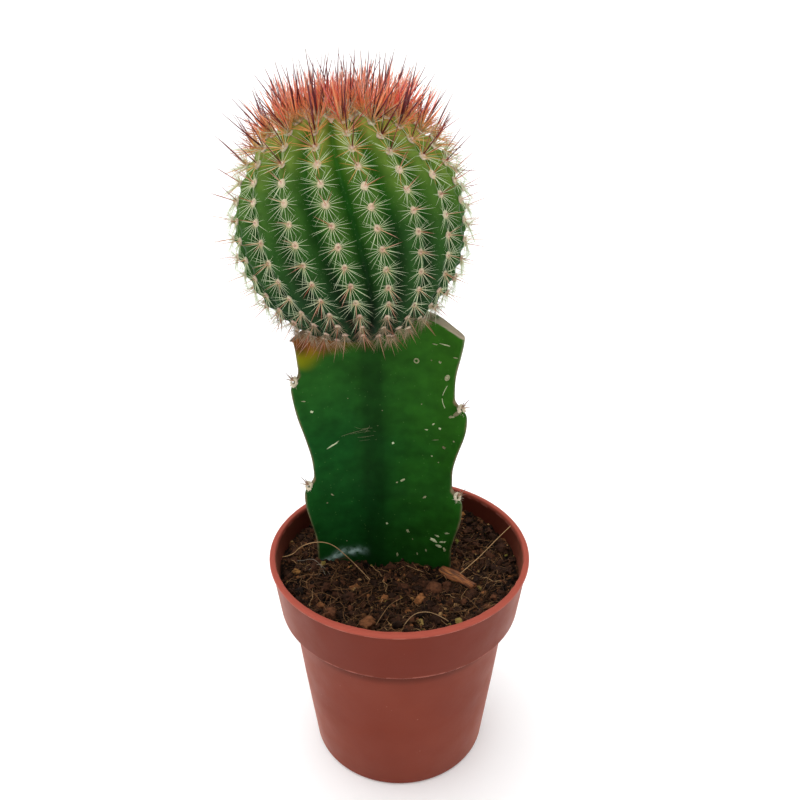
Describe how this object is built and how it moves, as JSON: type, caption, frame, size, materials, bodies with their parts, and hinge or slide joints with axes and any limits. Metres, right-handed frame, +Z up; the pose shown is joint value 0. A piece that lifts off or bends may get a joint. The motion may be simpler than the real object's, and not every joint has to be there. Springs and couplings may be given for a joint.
{
  "type": "potted grafted moon cactus",
  "caption": "Round ribbed ball cactus with a red-spined crown, grafted on a winged green stem in a small round nursery pot of soil.",
  "frame": {"origin": "centre of the pot's flat underside, on the surface that it stands on", "axes": "+Z up; -Y towards the side that the plant is seen from, with a flat face of the stem turned that way and the third wing pointing to +Y"},
  "size_m": [0.0733, 0.0702, 0.1734],
  "materials": {
    "pot_plastic": "satin",
    "soil": "matte",
    "bark": "matte",
    "stem_skin": "satin",
    "ball_skin": "satin",
    "crown_spines": "matte"
  },
  "bodies": {
    "root": {"pot": "pot_plastic", "soil": "soil", "bark_chip": "bark", "rootstock": "stem_skin", "scion": "ball_skin", "crown": "crown_spines"}
  },
  "joints": []
}
